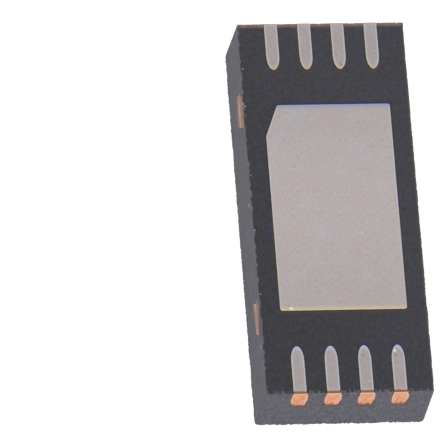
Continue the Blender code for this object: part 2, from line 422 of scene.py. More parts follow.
OUTLINES = Outlines()


@dataclass(frozen=True)
class SawnWall:
    """The foot that a worn blade leaves: the walls spread a little towards the marking face."""

    foot: float = 15 * MICRON

    def spread(self, level: float) -> float:
        """Return how far a wall stands out at a height."""
        return self.foot * (1.0 - level / SIZES.height)


WALL = SawnWall()


@dataclass(frozen=True)
class Mark:
    """A small pit or fleck, across and along a face, which fades between two shares of its radius."""

    across: float
    along: float
    radius: float
    fading: Pair = (0.5, 1.4)

    def mask(self, sheet: Sheet, across: Value, along: Value) -> Value:
        """Return 1 on the mark and 0 off it."""
        over, up = across - self.across, along - self.along
        near, far = self.fading
        return sheet.fade((over * over + up * up).math("SQRT"), self.radius * near, self.radius * far)


@dataclass(frozen=True)
class CompoundFinish:
    """Black filled epoxy: fine-grained where it was moulded, lighter and rougher where it was sawn."""

    moulded: Tones = Tones((0.0215, 0.0205, 0.0280), (0.0190, 0.0215, 0.0370), (0.0250, 0.0210, 0.0240))
    sawn: Tones = Tones((0.071, 0.069, 0.092), (0.056, 0.071, 0.106), (0.090, 0.070, 0.096))
    sawn_green: Colour = (0.072, 0.078, 0.072)
    violet: Colour = (0.074, 0.071, 0.114)
    navy: Colour = (0.010, 0.013, 0.062)
    brown: Colour = (0.048, 0.028, 0.012)
    dusted: Colour = (0.230, 0.135, 0.105)
    olive: Colour = (0.075, 0.056, 0.034)
    dust: Colour = (0.20, 0.085, 0.055)
    dark_brown: Colour = (0.095, 0.034, 0.022)
    chip: Colour = (0.50, 0.49, 0.50)
    bruise: Colour = (0.120, 0.122, 0.150)
    side_shade: float = 0.575
    level: Pair = (0.55, 0.80)
    upright: Pair = (0.5, 0.8)

    moulded_patch: float = 150 * MICRON
    mottle: float = 60 * MICRON
    speckle: Extent = microns(26, 46, 30)
    far_right_lift: Pair = (-0.9e-3, 0.6e-3)
    sawn_patch: float = 62 * MICRON
    green_patch: float = 83 * MICRON
    tone_patch: Extent = microns(110, 300, 90)
    down_streak: Extent = microns(25, 25, 105)
    long_streak: Extent = microns(30, 150, 38)
    sparkle: Extent = microns(15, 24, 28)
    by_lands: Pair = (0.16e-3, 0.02e-3)
    relief: Extent = microns(24, 42, 30)
    relief_depth: float = 3 * MICRON

    pad_halo: float = 42 * MICRON
    land_halo: float = 26 * MICRON
    pad_end: Pair = microns(10, 0)
    pad_reach: Pair = (1.46e-3, 1.50e-3)
    tip: Pair = (0.06e-3, 0.20e-3)
    rim_patch: Extent = microns(90, 60, 40)
    dusted_rim: Pair = microns(66, 10)
    olive_rim: Pair = microns(34, 10)
    near_nick: Extent = microns(15, 70, 20)
    near_rim: Pair = microns(54, 6)
    left_nick: Extent = microns(40, 70, 20)
    left_rim: Pair = microns(24, 4)

    row_reach: Pair = (0.74e-3, 0.78e-3)
    dust_reach: Pair = (0.05e-3, 0.13e-3)
    dust_fall: Pair = (0.20e-3, 0.0)
    speck: Extent = microns(24, 24, 40)
    shadow_sides: Pair = microns(6, 34)
    shadow_line: Pair = microns(18, 38)
    flecks: tuple[Mark, ...] = (
        Mark(-0.973e-3, 1.796e-3, 9 * MICRON),
        Mark(-0.980e-3, 1.314e-3, 9 * MICRON),
        Mark(-0.985e-3, -0.28e-3, 9 * MICRON),
        Mark(-0.980e-3, 0.42e-3, 7 * MICRON),
        Mark(-0.978e-3, -1.10e-3, 8 * MICRON),
    )
    wall_flecks: tuple[Mark, ...] = (
        Mark(1.535e-3, 0.735e-3, 28 * MICRON),
        Mark(1.355e-3, 0.935e-3, 20 * MICRON),
        Mark(-1.110e-3, 0.745e-3, 22 * MICRON),
        Mark(0.10e-3, 0.80e-3, 24 * MICRON),
        Mark(-1.72e-3, 0.82e-3, 26 * MICRON),
    )

    def material(self) -> bpy.types.Material:
        """Build the material."""
        sheet = Sheet("black_compound")
        place, normal = sheet.place(), sheet.facing()
        across, along, above = (sheet.part(place, axis) for axis in "XYZ")
        up = sheet.ease(abs(sheet.part(normal, "Z")), *self.level)
        side = sheet.ease(abs(sheet.part(normal, "X")), *self.upright)
        end = sheet.ease(abs(sheet.part(normal, "Y")), *self.upright)
        moulded = self._edged(sheet, self._moulded(sheet, across, along), across, along)

        long_streaks = sheet.grain(self.long_streak, 3.0, 0.65)
        streaks = sheet.grain(self.down_streak, 3.0, 0.65) * (1.0 - side) + long_streaks * side
        sawn = self._sawn(sheet, streaks, long_streaks, side, above)
        on_left = side * sheet.ease(across * -1.0, 0.0, HAIR)
        for mark in self.wall_flecks:
            sawn = sheet.blend(mark.mask(sheet, along, above) * on_left * 0.45, sawn, self.chip)
        dust, dark_brown = self._dust_and_shadow_line(sheet, across, along, above)
        sawn = sheet.blend(dust * end, sawn, self.dust)
        # painted shadow: a dark line round each lead's cut end
        sawn = sheet.blend(dark_brown * end, sawn, self.dark_brown)

        relief = sheet.grain(self.relief) * up + streaks * (1.0 - up) * 1.6
        return sheet.finish(
            {
                "Base Color": sheet.blend(up, sawn, moulded),
                "Roughness": 0.66 - up * 0.08 + streaks * 0.12,
                "Specular IOR Level": 0.38,
                "Normal": sheet.bump(relief, self.relief_depth, 0.9),
            }
        )

    @staticmethod
    def _patchy(sheet: Sheet, tones: Tones, size: float) -> Value:
        """Return a colour that drifts over patches of that size."""
        return sheet.drifted(sheet.grain((size, size * 1.6, size * 0.9), 2.0), (0.02, 0.20), tones)

    def _moulded(self, sheet: Sheet, across: Value, along: Value) -> Value:
        """Return the moulded face's colour, a little lighter towards +X and +Y."""
        colour = self._patchy(sheet, self.moulded, self.moulded_patch)
        mottle = sheet.grain(self.mottle, 2.0, 0.6)
        speckle = sheet.grain(self.speckle, 2.0, 0.7)
        far_right_lift = sheet.ease(across * 0.6 + along * 0.25, *self.far_right_lift)
        return sheet.shade(colour, mottle * 0.9 + speckle * 1.5 + far_right_lift * 0.34 + 0.84)

    def _sawn(
        self, sheet: Sheet, streaks: Value, long_streaks: Value, side: Value, above: Value
    ) -> Value:
        """Return the sawn walls' colour, streaked the way the saw went and most so by the lands, with
        painted sparkle glints and painted shade on the walls facing ±X.
        """
        tone = sheet.grain(self.tone_patch, 2.0)
        # painted highlights: small sparkle glints, stronger by the lands
        glints = sheet.ease(sheet.cells(self.sparkle), 0.95, 0.99)
        sawn = self._patchy(sheet, self.sawn, self.sawn_patch)
        green = sheet.ease(sheet.grain(self.green_patch), 0.04, 0.16)
        sawn = sheet.blend(green * 0.7, sawn, self.sawn_green)
        violet = sheet.ease(long_streaks + tone * 0.5, -0.02, 0.16)
        sawn = sheet.blend(violet * side, sawn, self.violet)
        by_lands = sheet.rim(above, SIZES.height, self.by_lands)
        strength = streaks * (by_lands * 0.8 + 2.0) + tone * 0.9 + glints * (by_lands * 0.5 + 0.6) + 1.0
        # painted shade: the walls facing ±X are darkened by this share, against the lamp that lights
        # them more than the end walls
        return sheet.shade(sawn, strength * (1.0 - side * (1.0 - self.side_shade)))

    def _edged(self, sheet: Sheet, moulded: Value, across: Value, along: Value) -> Value:
        """Add painted shade round the metal, the saw's dust and bruises on the edges, and small flecks.
        """
        # painted shade: a dark halo round the pad and the lands, tinted navy behind and brown in front,
        # with brown also along each land's left side
        on_pad = sheet.fade(abs(along), *self.pad_reach)
        shadow = sheet.blend(OUTLINES.faces_back(sheet, along, on_pad), self.brown, self.navy)
        pad, land = OUTLINES.pad(across, along), OUTLINES.land(across, along)
        beside_pad = sheet.rim(abs(along), SIZES.pad_half_length, self.pad_end)
        by_pad = sheet.fade(pad / (beside_pad * 0.55 + 0.45), self.pad_halo * 0.35, self.pad_halo)
        round_tip = sheet.fade(OUTLINES.past_tip(along), *self.tip)
        by_land = sheet.fade(land, self.land_halo * 0.2, self.land_halo * (round_tip * 0.5 + 0.6))
        beside = 1.0 - sheet.ahead(OUTLINES.off_centre(across))
        moulded = sheet.blend(by_land * (1.0 - round_tip) * (beside * 0.5 + 0.15), moulded, self.brown)
        moulded = sheet.blend(by_pad.math("MAXIMUM", by_land * round_tip) * 0.85, moulded, shadow)

        patches = sheet.ease(sheet.grain(self.rim_patch, 3.0), -0.25, 0.2) * 0.4 + 0.6
        far_rim = sheet.rim(along, SIZES.half_length, self.dusted_rim)
        right_rim = sheet.rim(across, SIZES.half_width, self.olive_rim)
        moulded = sheet.blend(far_rim * patches, moulded, self.dusted)
        moulded = sheet.blend(right_rim * patches * 0.9, moulded, self.olive)

        near_rim = sheet.rim(along * -1.0, SIZES.half_length, self.near_rim)
        left_rim = sheet.rim(across * -1.0, SIZES.half_width, self.left_rim)
        near_nicks = sheet.ease(sheet.grain(self.near_nick, 2.0), -0.02, 0.10)
        left_nicks = sheet.ease(sheet.grain(self.left_nick, 2.0), -0.02, 0.10)
        bruised = (near_rim * near_nicks).math("MAXIMUM", left_rim * left_nicks)
        moulded = sheet.blend(bruised * 0.9, moulded, self.bruise)
        for mark in self.flecks:
            moulded = sheet.blend(mark.mask(sheet, across, along) * 0.55, moulded, self.chip)
        return moulded

    def _dust_and_shadow_line(
        self, sheet: Sheet, across: Value, along: Value, above: Value
    ) -> tuple[Value, Value]:
        """Return the copper dust under each lead's end, and the painted shadow line round the end."""
        past = OUTLINES.end(sheet, across, along, above)
        inside = sheet.fade(abs(across), *self.row_reach)
        near_lead = sheet.fade(abs(past - 12 * MICRON), *self.dust_reach)
        band = sheet.rim(above, SIZES.frame_bottom, self.dust_fall)
        specks = sheet.ease(sheet.grain(self.speck, 2.0), 0.07, 0.17)
        # the painted shadow line reaches past both sides of the end and below it
        left, right = self.shadow_sides
        beside = (past - left).math("MAXIMUM", right - past) - SIZES.land_half_width
        below = (SIZES.frame_bottom - above) * 0.55
        line = sheet.fade(beside.math("MAXIMUM", below), *self.shadow_line)
        return specks * near_lead * inside * band * 0.85, line * inside * 0.9


@dataclass(frozen=True)
class TinFinish:
    """Matte plated tin, warm grey with a fine even grain and edges that catch the light."""

    tin: Tones = Tones((0.400, 0.358, 0.358), (0.385, 0.368, 0.376), (0.412, 0.362, 0.345))
    blue_edge: Colour = (0.265, 0.320, 0.465)
    pale_edge: Colour = (0.50, 0.50, 0.57)
    cream_edge: Colour = (0.50, 0.465, 0.415)
    gold_edge: Colour = (0.54, 0.45, 0.325)
    lavender_tip: Colour = (0.42, 0.41, 0.58)
    tan_tip: Colour = (0.42, 0.335, 0.265)
    cream_end: Colour = (0.44, 0.395, 0.335)
    shadow_by_wall: Colour = (0.165, 0.078, 0.050)
    pit: Colour = (0.10, 0.09, 0.09)
    glint: Colour = (0.90, 0.87, 0.80)
    grain: Extent = microns(19, 46, 20)
    grain_depth: float = 0.8 * MICRON
    drift: Extent = microns(150, 260, 100)
    pad_reach: Pair = (1.40e-3, 1.60e-3)
    pad_middle: float = 0.1e-3
    middle_reach: Pair = (-1.35e-3, -0.2e-3)
    side_width: float = 30 * MICRON
    corner_blend: float = 30 * MICRON
    pad_end: Pair = microns(8, 72)
    land_tip: Pair = microns(12, 80)
    by_saw: Pair = microns(75, 20)
    wall_shadow_band: Pair = microns(28, 20)
    line_grain: float = 28 * MICRON
    line_waver: float = 24 * MICRON
    pits: tuple[Mark, ...] = (
        Mark(0.213e-3, 1.83e-3, 13 * MICRON),
        Mark(0.185e-3, -1.90e-3, 11 * MICRON),
        Mark(0.570e-3, -1.905e-3, 12 * MICRON),
        Mark(-0.662e-3, -1.265e-3, 8 * MICRON),
    )
    glints: tuple[Mark, ...] = (
        Mark(0.565e-3, -1.850e-3, 14 * MICRON),
        Mark(-0.634e-3, -1.290e-3, 12 * MICRON),
        Mark(-0.614e-3, -1.296e-3, 10 * MICRON),
        Mark(-0.678e-3, -1.224e-3, 5 * MICRON),
    )

    def material(self) -> bpy.types.Material:
        """Build the material."""
        sheet = Sheet("matte_tin_film")
        place = sheet.place()
        across, along = sheet.part(place, "X"), sheet.part(place, "Y")
        grain = sheet.grain(self.grain, 3.0, 0.65)
        drift = sheet.grain(self.drift, 2.0)
        on_pad = sheet.fade(abs(along), *self.pad_reach)
        tin = sheet.drifted(drift, (0.0, 0.25), self.tin)
        middle = sheet.ease(abs(along - self.pad_middle) * -1.0, *self.middle_reach)
        lightness = grain * 0.55 + drift * 0.10 + on_pad * (middle * 0.07 + 0.11) + 0.90
        tin = self._edged(sheet, sheet.shade(tin, lightness), across, along, on_pad)
        for mark in self.pits:
            tin = sheet.blend(mark.mask(sheet, across, along) * 0.6, tin, self.pit)
        # painted highlights: small specular glints
        for mark in self.glints:
            tin = sheet.blend(mark.mask(sheet, across, along) * 0.8, tin, self.glint)
        return sheet.finish(
            {
                "Base Color": tin,
                "Metallic": 1.0,
                "Roughness": grain * 0.20 + 0.48,
                "Normal": sheet.bump(grain, self.grain_depth, 0.7),
            }
        )

    def _edged(self, sheet: Sheet, tin: Value, across: Value, along: Value, on_pad: Value) -> Value:
        """Tint the films' edges by the way they face, as painted reflections: blue and pale behind,
        cream and gold in front; add a painted shadow line by the near end wall.
        """
        # painted reflections: each rolled edge takes its colour by the way it faces, blue and pale
        # behind, cream and gold in front
        facing_back = OUTLINES.faces_back(sheet, along, on_pad)
        outside = OUTLINES.pad(across, along).math("MINIMUM", OUTLINES.land(across, along))
        side = sheet.ease(outside, -self.side_width, -self.side_width * 0.2)
        beside = across * on_pad + OUTLINES.off_centre(across) * (1.0 - on_pad)
        corner = OUTLINES.cut_start()
        by_corner = sheet.ease(along, corner, corner + self.corner_blend)
        pale = sheet.ahead(beside).math("MAXIMUM", by_corner * on_pad)
        edge = sheet.blend(pale, self.cream_edge, self.pale_edge)
        tin = sheet.blend(side * (0.72 - on_pad * 0.18), tin, edge)

        pad_end = on_pad * sheet.fade(SIZES.pad_half_length - abs(along), *self.pad_end)
        tin = sheet.blend(pad_end * 0.9, tin, sheet.blend(facing_back, self.gold_edge, self.blue_edge))
        tip = (1.0 - on_pad) * sheet.fade(OUTLINES.past_tip(along), *self.land_tip)
        tin = sheet.blend(tip * 0.75, tin, sheet.blend(facing_back, self.tan_tip, self.lavender_tip))

        by_saw = sheet.rim(abs(along), SIZES.half_length, self.by_saw)
        tin = sheet.blend(by_saw * 0.55, tin, self.cream_end)
        # painted shadow: a dark wavering line on the tin by the near end wall
        waver = sheet.grain(self.line_grain) * self.line_waver
        line = sheet.rim(waver - along, SIZES.half_length, self.wall_shadow_band)
        return sheet.blend(line * 0.85, tin, self.shadow_by_wall)


@dataclass(frozen=True)
class CopperFinish:
    """Bare copper: satin where it was etched, bright and smeared where the saw went through."""

    copper: Colour = (0.66, 0.290, 0.150)
    pale: Colour = (0.77, 0.360, 0.205)
    rim: Colour = (0.70, 0.420, 0.300)
    dark_brown: Colour = (0.20, 0.070, 0.040)
    covered: Colour = (0.118, 0.115, 0.132)
    dull: Colour = (0.165, 0.060, 0.040)
    dull_pale: Colour = (0.47, 0.212, 0.148)
    smear: Extent = microns(30, 30, 21)
    smear_depth: float = 1.6 * MICRON
    patch: Extent = microns(60, 60, 90)
    by_edge: Pair = microns(20, -4)
    by_top: Pair = microns(60, 20)
    tooth: Extent = microns(30, 30, 90)
    tooth_length: float = 140 * MICRON
    dark_foot: Pair = microns(25, 65)
    on_side: Pair = microns(16, 12)
    drawn: Extent = microns(40, 240, 34)
    highlight_level: float = 0.70e-3
    highlight_slope: float = 2.6e3
    at_wall: Pair = microns(20, 28)

    def material(self, name: str, under_smear: bool) -> bpy.types.Material:
        """Build the material.

        Args:
            name: The material's name.
            under_smear: Whether the piece ends at a wall, under the smear that the saw left there.

        Returns:
            The material.
        """
        sheet = Sheet(name)
        place = sheet.place()
        across, along, height = (sheet.part(place, axis) for axis in "XYZ")
        smear = sheet.grain(self.smear, 3.0, 0.6)
        patch = sheet.grain(self.patch, 2.0)
        colour = sheet.blend(sheet.ease(patch + smear * 0.7, -0.10, 0.14), self.copper, self.pale)
        colour = sheet.shade(colour, smear * 1.0 + 0.92)
        off = abs(OUTLINES.end(sheet, across, along, height))
        # painted highlight: the sides and the top of each cut end are paler
        by_edge = sheet.rim(off, SIZES.land_half_width, self.by_edge)
        by_top = sheet.rim(height, SIZES.height, self.by_top)
        colour = sheet.blend(by_edge.math("MAXIMUM", by_top) * 0.75, colour, self.rim)
        # the foot of each end is darker, in ragged teeth
        teeth = sheet.grain(self.tooth, 1.0) * self.tooth_length
        lower = sheet.fade(height + teeth - SIZES.frame_bottom, *self.dark_foot)
        colour = sheet.blend(lower * 0.85, colour, self.dark_brown)
        on_side = sheet.rim(abs(across), SIZES.half_width, self.on_side)
        drawn = sheet.grain(self.drawn, 2.0, 0.6)
        # painted highlight: pale streaks round one height on each tie bar's cut end, over dull copper
        off_highlight = abs(height - self.highlight_level) * -self.highlight_slope
        streak_highlight = sheet.ease(drawn * 0.7 + off_highlight, -0.14, 0.02)
        colour = sheet.blend(on_side, colour, sheet.blend(streak_highlight, self.dull, self.dull_pale))
        if under_smear:
            room = (SIZES.half_length - abs(along)).math("MINIMUM", SIZES.half_width - abs(across))
            colour = sheet.blend(sheet.fade(room, *self.at_wall), colour, self.covered)
        return sheet.finish(
            {
                "Base Color": colour,
                "Metallic": 1.0,
                "Roughness": smear * 0.25 + 0.46,
                "Normal": sheet.bump(smear + patch * 0.6, self.smear_depth, 0.8),
            }
        )


@dataclass(frozen=True)
class GoldFinish:
    """Drawn gold wire."""

    gold: Colour = (0.86, 0.60, 0.22)
    draw: Extent = microns(4, 30, 8)
    draw_depth: float = 0.4 * MICRON

    def material(self) -> bpy.types.Material:
        """Build the material."""
        sheet = Sheet("drawn_gold")
        draw = sheet.grain(self.draw, 2.0)
        colour = sheet.shade(self.gold, draw * 0.25 + 1.0)
        sockets = {"Base Color": colour, "Metallic": 1.0, "Roughness": draw * 0.15 + 0.25}
        return sheet.finish({**sockets, "Normal": sheet.bump(draw, self.draw_depth, 0.5)})


@dataclass(frozen=True)
class AdhesiveFinish:
    """Silver-filled epoxy under the die."""

    epoxy: Colour = (0.42, 0.43, 0.45)
    flake: float = 8 * MICRON
    lump: float = 30 * MICRON
    lump_depth: float = 1.5 * MICRON

    def material(self) -> bpy.types.Material:
        """Build the material."""
        sheet = Sheet("silver_epoxy")
        flakes = sheet.cells(self.flake)
        lumps = sheet.grain(self.lump, 3.0)
        colour = sheet.shade(self.epoxy, flakes * 0.5 + lumps * 0.2 + 0.75)
        sockets = {"Base Color": colour, "Metallic": flakes * 0.6, "Roughness": 0.55 - flakes * 0.15}
        return sheet.finish({**sockets, "Normal": sheet.bump(lumps, self.lump_depth, 0.7)})


@dataclass(frozen=True)
class SiliconFinish:
    """The die: sawn silicon sides, and a face with arrays of cells under its passivation."""

    silicon: Colour = (0.17, 0.17, 0.20)
    arrays: Colour = (0.30, 0.24, 0.36)
    tracks: Colour = (0.50, 0.46, 0.36)
    block_width: float = 0.52e-3
    block_height: float = 0.46e-3
    block_gap: float = 12 * MICRON
    line_pitch: float = 9 * MICRON
    saw: Extent = microns(20, 20, 6)
    saw_depth: float = 1.2 * MICRON

    def material(self) -> bpy.types.Material:
        """Build the material."""
        sheet = Sheet("patterned_silicon")
        down = sheet.ease(sheet.part(sheet.facing(), "Z") * -1.0, 0.8, 0.95)
        place = sheet.place()
        blocks = {"Vector": place, "Scale": 1.0, "Mortar Size": self.block_gap}
        blocks |= {"Brick Width": self.block_width, "Row Height": self.block_height}
        gaps = sheet.node("ShaderNodeTexBrick", {"offset": 0.0}, blocks, "Fac")
        lines = (sheet.part(place, "X") / self.line_pitch).math("FRACT")
        arrays = sheet.shade(self.arrays, sheet.ease(abs(lines - 0.5), 0.1, 0.4) * 0.3 + 0.8)
        face = sheet.blend(gaps, arrays, self.tracks)
        saw = sheet.grain(self.saw, 3.0)
        sides = sheet.shade(self.silicon, saw * 0.4 + 1.0)
        return sheet.finish(
            {
                "Base Color": sheet.blend(down, sides, face),
                "Metallic": 0.5,
                "Roughness": 0.42 - down * 0.2,
                "Normal": sheet.bump(saw * (1.0 - down), self.saw_depth, 0.6),
            }
        )


@dataclass(frozen=True)
class FloorFinish:
    """The plain pale floor, lit from below like a photographer's table."""

    grey: Colour = (0.35, 0.35, 0.35)
    white: Colour = (1.0, 1.0, 1.0)
    glow: float = 0.80

    def material(self) -> bpy.types.Material:
        """Build the material."""
        sheet = Sheet("pale_floor")
        shine = {"Emission Color": (*self.white, 1.0), "Emission Strength": self.glow}
        flat = {"Base Color": (*self.grey, 1.0), "Roughness": 0.9, "Specular IOR Level": 0.0}
        return sheet.finish({**flat, **shine})


def mesh_piece(
    name: str, shape: bmesh.types.BMesh, material: bpy.types.Material
) -> bpy.types.Object:
    """Make a piece of the chip from a finished bmesh, which is freed.

    Args:
        name: The piece's name.
        shape: The bmesh, in the chip's frame.
        material: The material that it wears.

    Returns:
        The piece, riding on the chip.
    """
    mesh = bpy.data.meshes.new(name)
    shape.to_mesh(mesh)
    shape.free()
    mesh.materials.append(material)
    piece = bpy.data.objects.new(name, mesh)
    bpy.context.scene.collection.objects.link(piece)
    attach(piece, Body.CHIP.value)
    return piece


def wear(node: str, material: bpy.types.Material) -> None:
    """Put a material on every slot of a CAD node."""
    mesh = frame["nodes"][node].data
    if not mesh.materials:
        mesh.materials.append(material)
    for index in range(len(mesh.materials)):
        mesh.materials[index] = material


def welded_copy(node: str) -> bmesh.types.BMesh:
    """Return a copy of a CAD node's mesh with its points welded."""
    shape = bmesh.new()
    shape.from_mesh(frame["nodes"][node].data)
    bmesh.ops.remove_doubles(shape, verts=shape.verts, dist=WELD)
    return shape


def raise_faces(shape: bmesh.types.BMesh, height: float, keep: bool) -> list[bmesh.types.BMFace]:
    """Extrude all faces of a flat shape upwards.

    Args:
        shape: The flat shape.
        height: How far the faces rise.
        keep: Whether the flat faces stay as the underside.

    Returns:
        The raised faces.
    """
    lifted = bmesh.ops.extrude_face_region(shape, geom=shape.faces[:], use_keep_orig=keep)["geom"]
    verts = [each for each in lifted if isinstance(each, bmesh.types.BMVert)]
    bmesh.ops.translate(shape, verts=verts, vec=(0.0, 0.0, height))
    return [each for each in lifted if isinstance(each, bmesh.types.BMFace)]


@dataclass
class MouldedBody:
    """The block of moulding compound, with its ragged sawn edges and its pockets for the metal."""

    column_step: float = 16 * MICRON
    row_step: float = 20 * MICRON
    corner_radius: float = 14 * MICRON
    corner_cuts: tuple[float, ...] = (0.25, 0.6, 1.0)
    plane_gap: float = 1e-9
    wall_relief: float = 1.2 * MICRON
    tooth: float = 24 * MICRON
    finer_teeth: float = 2.3
    finer_share: float = 0.6
    finer_offset: Extent = (7.0, 3.0, 1.0)
    mark_length: float = 0.3e-3
    mark_height: float = 15 * MICRON
    wave_length: float = 0.25e-3
    wave_depth: float = 5 * MICRON
    land_chip: float = 12 * MICRON
    base_chip: float = 30 * MICRON
    chip_reach: float = 26 * MICRON
    corner_loss: float = 12 * MICRON
    corner_reach: float = 80 * MICRON
    overcut: float = 60 * MICRON
    cutting_scale: float = 1000.0
    pockets: tuple[str, ...] = ("die_paddle", "die_attach", "memory_die")

    def build(self) -> None:
        """Make the block and put it in the place of its CAD node."""
        material = CompoundFinish().material()
        shape = self._block()
        self._roughen(shape)
        piece = mesh_piece("moulded_body", shape, material)
        self._cut_pockets(piece)
        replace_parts(piece, "mould_body")

    def _block(self) -> bmesh.types.BMesh:
        """Return a closed block with finely divided walls and two flat faces of one face each."""
        shape = bmesh.new()
        bmesh.ops.create_cube(shape, size=1.0)
        size = (2 * SIZES.half_width, 2 * SIZES.half_length, SIZES.height)
        bmesh.ops.scale(shape, verts=shape.verts, vec=size)
        bmesh.ops.translate(shape, verts=shape.verts, vec=(0.0, 0.0, SIZES.height / 2))
        steps = (self.column_step, self.column_step, self.row_step)
        for axis in range(3):
            edges = [edge for edge in shape.edges if self._runs_along(edge, axis)]
            cuts = int(size[axis] / steps[axis])
            bmesh.ops.subdivide_edges(shape, edges=edges, cuts=cuts, use_grid_fill=axis == 2)
        for axis, half in ((0, SIZES.half_width), (1, SIZES.half_length)):
            for share in self.corner_cuts:
                for side in (-1.0, 1.0):
                    self._cut_across(shape, axis, side * (half - share * self.corner_radius))
        flats = [face for face in shape.faces if abs(face.normal.z) > 0.9]
        bmesh.ops.dissolve_faces(shape, faces=flats)
        return shape

    def _cut_across(self, shape: bmesh.types.BMesh, axis: int, level: float) -> None:
        """Add a line of edges where the plane at a level of an axis meets the shape."""
        place, normal = Vector((0.0, 0.0, 0.0)), Vector((0.0, 0.0, 0.0))
        place[axis] = level
        normal[axis] = 1.0
        geometry = [*shape.verts, *shape.edges, *shape.faces]
        bmesh.ops.bisect_plane(
            shape, geom=geometry, dist=self.plane_gap, plane_co=place, plane_no=normal
        )

    @staticmethod
    def _runs_along(edge: bmesh.types.BMEdge, axis: int) -> bool:
        """Tell whether an edge runs along an axis."""
        run = edge.verts[1].co - edge.verts[0].co
        return abs(run[axis]) > 0.999 * run.length

    def _roughen(self, shape: bmesh.types.BMesh) -> None:
        """Round the block's upright edges and move its walls into saw marks, chips and wear."""
        moves = [(vert, self._rounded(vert.co), self._worn(vert.co)) for vert in shape.verts]
        for vert, rounded, worn in moves:
            vert.co += rounded + worn

    def _rounded(self, at: Vector) -> Vector:
        """Return how far a point moves to round the upright edges."""
        radius = self.corner_radius
        along = Vector((abs(at.x) - SIZES.half_width + radius, abs(at.y) - SIZES.half_length + radius))
        if min(along) <= 0.0:
            return Vector((0.0, 0.0, 0.0))
        move = along * (max(along) / along.length) - along
        return Vector((math.copysign(1.0, at.x) * move.x, math.copysign(1.0, at.y) * move.y, 0.0))

    def _worn(self, at: Vector) -> Vector:
        """Return how far a wall's point moves by saw marks, chips and wear, and out to the foot."""
        room = Vector((SIZES.half_width - abs(at.x), SIZES.half_length - abs(at.y)))
        out = Vector((float(room.x < self.corner_radius), float(room.y < self.corner_radius), 0.0))
        out = Vector((math.copysign(out.x, at.x), math.copysign(out.y, at.y), 0.0)).normalized()
        cell = at / self.tooth
        finer = noise.noise(cell * self.finer_teeth + Vector(self.finer_offset))
        ragged = noise.noise(cell) + self.finer_share * finer
        flat = Vector((at.x, at.y, 0.0))
        marks = noise.noise(flat / self.mark_length + Vector((0.0, 0.0, at.z / self.mark_height)))
        waves = noise.noise(flat / self.wave_length)
        inward = self.wall_relief * (0.6 * abs(ragged) + 0.5 * marks + 0.6) + self.wave_depth * waves
        below_lands = SIZES.height - at.z
        if below_lands < self.chip_reach:
            inward += self.land_chip * max(0.0, ragged) * (1.0 - below_lands / self.chip_reach)
        if at.z < self.chip_reach:
            inward += self.base_chip * max(0.0, ragged + 0.1) * (1.0 - at.z / self.chip_reach)
        to_corner = max(room) + at.z
        if to_corner < self.corner_reach:
            inward += self.corner_loss * (1.0 - to_corner / self.corner_reach) ** 2
        return out * (WALL.spread(at.z) - inward)

    def _cut_pockets(self, piece: bpy.types.Object) -> None:
        """Cut the pockets of what the compound encloses, enlarged so that the cut stays exact."""
        enlarge = Matrix.Scale(self.cutting_scale, 4)
        cutters = bpy.data.collections.new("pocket_cutters")
        for name in (*self.pockets, *numbered("lead"), *numbered("bond_wire")):
            mesh = self._stretched_copy(name)
            mesh.transform(enlarge)
            cutters.objects.link(bpy.data.objects.new(f"pocket_{name}", mesh))
        piece.data.transform(enlarge)
        bpy.context.scene.collection.children.link(cutters)
        step = piece.modifiers.new("pockets", "BOOLEAN")
        step.operation = "DIFFERENCE"
        step.solver = "EXACT"
        step.operand_type = "COLLECTION"
        step.collection = cutters
        graph = bpy.context.evaluated_depsgraph_get()
        cut = bpy.data.meshes.new_from_object(piece.evaluated_get(graph))
        piece.modifiers.clear()
        self._split_polygons(cut)
        cut.transform(enlarge.inverted())
        piece.data = cut
        for cutter in list(cutters.objects):
            bpy.data.objects.remove(cutter)
        bpy.data.collections.remove(cutters)

    @staticmethod
    def _split_polygons(mesh: bpy.types.Mesh) -> None:
        """Split the cut's many-sided faces well, because their corners in line make flat triangles."""
        shape = bmesh.new()
        shape.from_mesh(mesh)
        bmesh.ops.triangulate(shape, faces=shape.faces, quad_method="BEAUTY", ngon_method="BEAUTY")
        shape.to_mesh(mesh)
        shape.free()

    def _stretched_copy(self, node: str) -> bpy.types.Mesh:
        """Return a copy of a node's mesh, run out past the block wherever it ends at its surface."""
        shape = welded_copy(node)
        for vert in shape.verts:
            if abs(vert.co.x) > SIZES.half_width - TOUCH:
                vert.co.x += math.copysign(self.overcut, vert.co.x)
            if abs(vert.co.y) > SIZES.half_length - TOUCH:
                vert.co.y += math.copysign(self.overcut, vert.co.y)
            if vert.co.z > SIZES.height - TOUCH:
                vert.co.z += self.overcut
        mesh = bpy.data.meshes.new(f"pocket_{node}")
        shape.to_mesh(mesh)
        shape.free()
        return mesh


